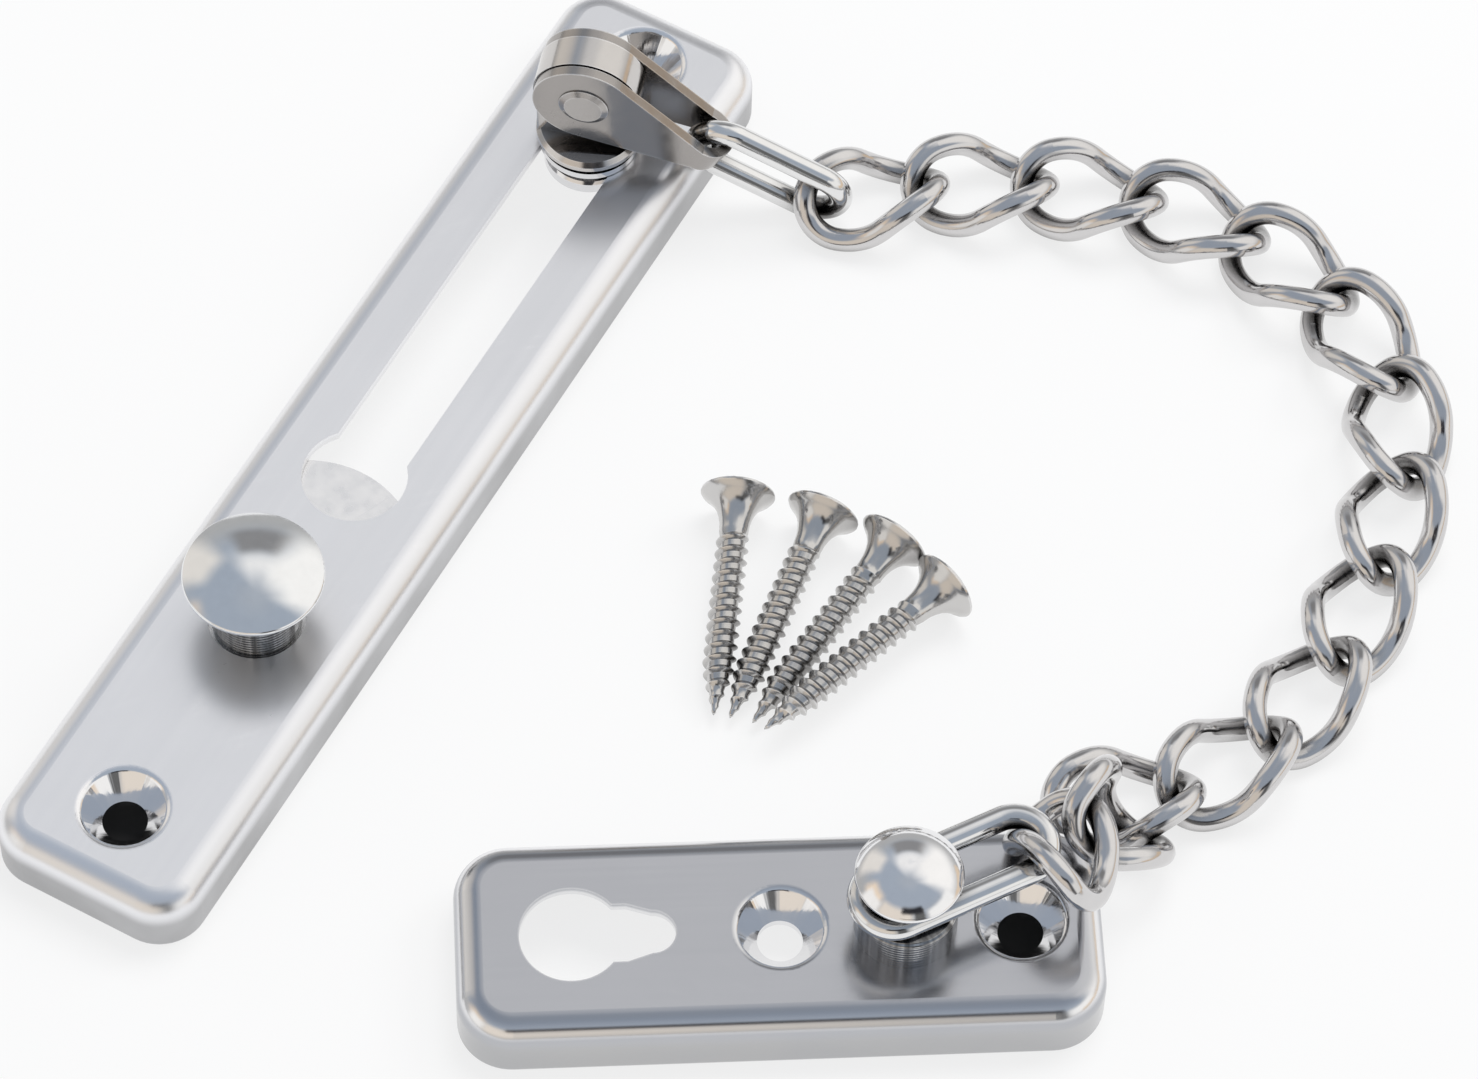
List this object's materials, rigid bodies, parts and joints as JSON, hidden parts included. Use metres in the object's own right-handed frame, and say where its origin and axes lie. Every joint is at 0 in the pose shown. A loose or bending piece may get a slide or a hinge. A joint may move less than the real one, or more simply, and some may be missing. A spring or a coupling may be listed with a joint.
{
  "type": "door chain guard",
  "caption": "Slotted track plate with push-knob latch and swivelling slider, joined by a twisted-link chain to a keyhole frame plate with a stud, with wood screws.",
  "frame": {"origin": "centre of the track plate's back face, on the door's surface", "axes": "+Y along the slot towards its locked end, +Z out of the door, +X towards the chain"},
  "size_m": [0.1241, 0.146, 0.0246],
  "materials": {
    "plate_satin": "satin",
    "frame_satin": "satin",
    "leaf_steel": "satin",
    "screw_steel": "bright",
    "polished_steel": "mirror polished"
  },
  "bodies": {
    "track": {"track_plate": "plate_satin", "wood_screws": "screw_steel"},
    "latch": {"latch_leaf": "leaf_steel", "press_knob": "polished_steel", "knob_rivet": "polished_steel"},
    "washer": {"slider_washer": "polished_steel"},
    "slider": {"slider_stud": "polished_steel", "slider_head": "polished_steel"},
    "strap": {"swivel_strap": "polished_steel", "strap_pin": "polished_steel"},
    "slider_link": {"slider_link": "polished_steel"},
    "chain_link_01": {"chain_link_01": "polished_steel"},
    "chain_link_02": {"chain_link_02": "polished_steel"},
    "chain_link_03": {"chain_link_03": "polished_steel"},
    "chain_link_04": {"chain_link_04": "polished_steel"},
    "chain_link_05": {"chain_link_05": "polished_steel"},
    "chain_link_06": {"chain_link_06": "polished_steel"},
    "chain_link_07": {"chain_link_07": "polished_steel"},
    "chain_link_08": {"chain_link_08": "polished_steel"},
    "chain_link_09": {"chain_link_09": "polished_steel"},
    "chain_link_10": {"chain_link_10": "polished_steel"},
    "chain_link_11": {"chain_link_11": "polished_steel"},
    "chain_link_12": {"chain_link_12": "polished_steel"},
    "chain_link_13": {"chain_link_13": "polished_steel"},
    "chain_link_14": {"chain_link_14": "polished_steel"},
    "stud_link": {"stud_link": "polished_steel"},
    "frame_side": {"frame_plate": "frame_satin", "frame_stud": "polished_steel"}
  },
  "joints": [
    {"name": "latch_press", "type": "hinge", "parent": "track", "child": "latch", "pos_m": [0, -0.049, 0.00625], "axis": [-1, 0, 0], "range_deg": [0, 4], "stiffness_Nm_per_rad": 0.9},
    {"name": "slider_travel", "type": "slide", "parent": "track", "child": "washer", "axis": [0, -1, 0], "range_m": [0, 0.036]},
    {"name": "slider_turn", "type": "hinge", "parent": "washer", "child": "slider", "pos_m": [0, 0.046, 0.0085], "axis": [0, 0, 1], "range_deg": [-8, 2]},
    {"name": "strap_lift", "type": "hinge", "parent": "slider", "child": "strap", "pos_m": [0, 0.046, 0.0184], "axis": [0.299, -0.9542, 0], "range_deg": [0, 150]},
    {"name": "fold_swing", "type": "hinge", "parent": "strap", "child": "slider_link", "pos_m": [0.01317, 0.05013, 0.01134], "axis": [0.4347, 0.1362, 0.8902], "range_deg": [-6, 12]},
    {"name": "swing_01", "type": "hinge", "parent": "slider_link", "child": "chain_link_01", "pos_m": [0.02857, 0.05376, 0.00374], "axis": [0, 0, 1], "range_deg": [-2, 28]},
    {"name": "swing_02", "type": "hinge", "parent": "chain_link_01", "child": "chain_link_02", "pos_m": [0.03577, 0.06189, 0.00374], "axis": [0, 0, -1], "range_deg": [-25, 4]},
    {"name": "swing_03", "type": "hinge", "parent": "chain_link_02", "child": "chain_link_03", "pos_m": [0.04686, 0.06829, 0.00374], "axis": [0, 0, 1], "range_deg": [-4, 25]},
    {"name": "swing_04", "type": "hinge", "parent": "chain_link_03", "child": "chain_link_04", "pos_m": [0.0589, 0.07263, 0.00374], "axis": [0, 0, -1], "range_deg": [-25, 4]},
    {"name": "swing_05", "type": "hinge", "parent": "chain_link_04", "child": "chain_link_05", "pos_m": [0.07165, 0.07372, 0.00374], "axis": [0, 0, 1], "range_deg": [-4, 25]},
    {"name": "swing_06", "type": "hinge", "parent": "chain_link_05", "child": "chain_link_06", "pos_m": [0.08421, 0.07126, 0.00374], "axis": [0, 0, -1], "range_deg": [-25, 4]},
    {"name": "swing_07", "type": "hinge", "parent": "chain_link_06", "child": "chain_link_07", "pos_m": [0.09499, 0.06434, 0.00374], "axis": [0, 0, 1], "range_deg": [-4, 25]},
    {"name": "swing_08", "type": "hinge", "parent": "chain_link_07", "child": "chain_link_08", "pos_m": [0.10182, 0.05352, 0.00374], "axis": [0, 0, -1], "range_deg": [-25, 4]},
    {"name": "swing_09", "type": "hinge", "parent": "chain_link_08", "child": "chain_link_09", "pos_m": [0.10455, 0.04102, 0.00374], "axis": [0, 0, 1], "range_deg": [-4, 25]},
    {"name": "swing_10", "type": "hinge", "parent": "chain_link_09", "child": "chain_link_10", "pos_m": [0.10598, 0.0283, 0.00374], "axis": [0, 0, -1], "range_deg": [-25, 4]},
    {"name": "swing_11", "type": "hinge", "parent": "chain_link_10", "child": "chain_link_11", "pos_m": [0.10426, 0.01561, 0.00374], "axis": [0, 0, 1], "range_deg": [-4, 25]},
    {"name": "swing_12", "type": "hinge", "parent": "chain_link_11", "child": "chain_link_12", "pos_m": [0.09849, 0.00419, 0.00374], "axis": [0, 0, -1], "range_deg": [-25, 2]},
    {"name": "swing_13", "type": "hinge", "parent": "chain_link_12", "child": "chain_link_13", "pos_m": [0.09721, -0.00299, 0.00335], "axis": [0, 0, 1], "range_deg": [-3, 5]},
    {"name": "swing_14", "type": "hinge", "parent": "chain_link_13", "child": "chain_link_14", "pos_m": [0.09067, -0.00919, 0.0123], "axis": [0, 0, 1], "range_deg": [-3, 15]},
    {"name": "swing_stud_link", "type": "hinge", "parent": "chain_link_14", "child": "stud_link", "pos_m": [0.08743, -0.01542, 0.0142], "axis": [0, 0, 1], "range_deg": [-12, 6]},
    {"name": "stud_turn", "type": "hinge", "parent": "stud_link", "child": "frame_side", "pos_m": [0.08086, -0.02713, 0.0142], "axis": [0, 0, 1], "range_deg": [-20, 2]}
  ]
}
